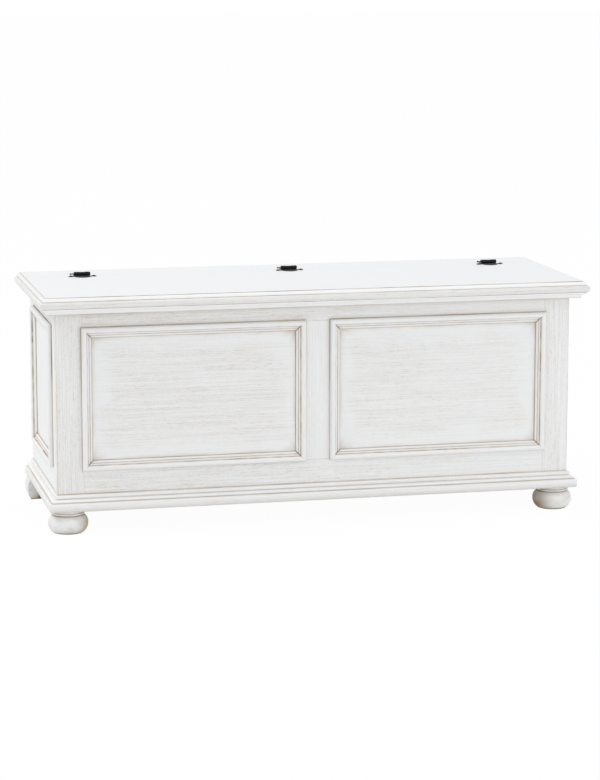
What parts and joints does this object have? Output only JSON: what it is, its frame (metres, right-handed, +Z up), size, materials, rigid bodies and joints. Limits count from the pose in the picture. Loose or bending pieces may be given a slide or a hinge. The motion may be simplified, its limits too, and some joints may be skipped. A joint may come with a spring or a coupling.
{
  "type": "storage chest",
  "caption": "White painted blanket chest with framed panels, a moulded hinged lid with black iron hinges, bun front feet and sawn rear feet.",
  "frame": {"origin": "on the floor, under the middle of the chest's outside box", "axes": "+X to the right as seen from the front, +Y to the back, +Z up; the front faces -Y"},
  "size_m": [1.2, 0.439, 0.5181],
  "materials": {
    "painted_wood": "white antique paint with brown glaze, satin",
    "bare_wood": "planed pine, unfinished",
    "black_iron": "black, satin"
  },
  "bodies": {
    "case": {"back_board_high": "painted_wood", "back_board_low": "painted_wood", "back_board_middle": "painted_wood", "base_back": "painted_wood", "base_cap_front": "painted_wood", "base_cap_left": "painted_wood", "base_cap_right": "painted_wood", "base_front": "painted_wood", "base_left": "painted_wood", "base_right": "painted_wood", "floor_boards": "bare_wood", "floor_cleat_front": "bare_wood", "floor_cleat_rear": "bare_wood", "foot_dowels": "bare_wood", "foot_front_left": "painted_wood", "foot_front_right": "painted_wood", "foot_rear_left": "painted_wood", "foot_rear_right": "painted_wood", "front_bottom_rail": "painted_wood", "front_left_moulding": "painted_wood", "front_muntin": "painted_wood", "front_panel_left": "painted_wood", "front_panel_right": "painted_wood", "front_right_moulding": "painted_wood", "front_stile_left": "painted_wood", "front_stile_right": "painted_wood", "front_top_rail": "painted_wood", "hinge_left_rail_leaf": "black_iron", "hinge_middle_rail_leaf": "black_iron", "hinge_pins": "black_iron", "hinge_rail_screws": "black_iron", "hinge_right_rail_leaf": "black_iron", "left_bottom_rail": "painted_wood", "left_front_stile": "painted_wood", "left_moulding": "painted_wood", "left_panel": "painted_wood", "left_rear_stile": "painted_wood", "left_top_rail": "painted_wood", "rear_cove_left": "painted_wood", "rear_cove_right": "painted_wood", "right_bottom_rail": "painted_wood", "right_front_stile": "painted_wood", "right_moulding": "painted_wood", "right_panel": "painted_wood", "right_rear_stile": "painted_wood", "right_top_rail": "painted_wood", "top_rear_rail": "painted_wood"},
    "lid": {"hinge_left_lid_leaf": "black_iron", "hinge_lid_screws": "black_iron", "hinge_middle_lid_leaf": "black_iron", "hinge_right_lid_leaf": "black_iron", "lid_batten_left": "painted_wood", "lid_batten_middle": "painted_wood", "lid_batten_right": "painted_wood", "lid_board": "painted_wood", "lid_cove_front": "painted_wood", "lid_cove_left": "painted_wood", "lid_cove_right": "painted_wood"}
  },
  "joints": [
    {"name": "lid_hinge", "type": "hinge", "parent": "case", "child": "lid", "pos_m": [0, 0.1245, 0.5137], "axis": [-1, 0, 0], "range_deg": [0, 100]}
  ]
}
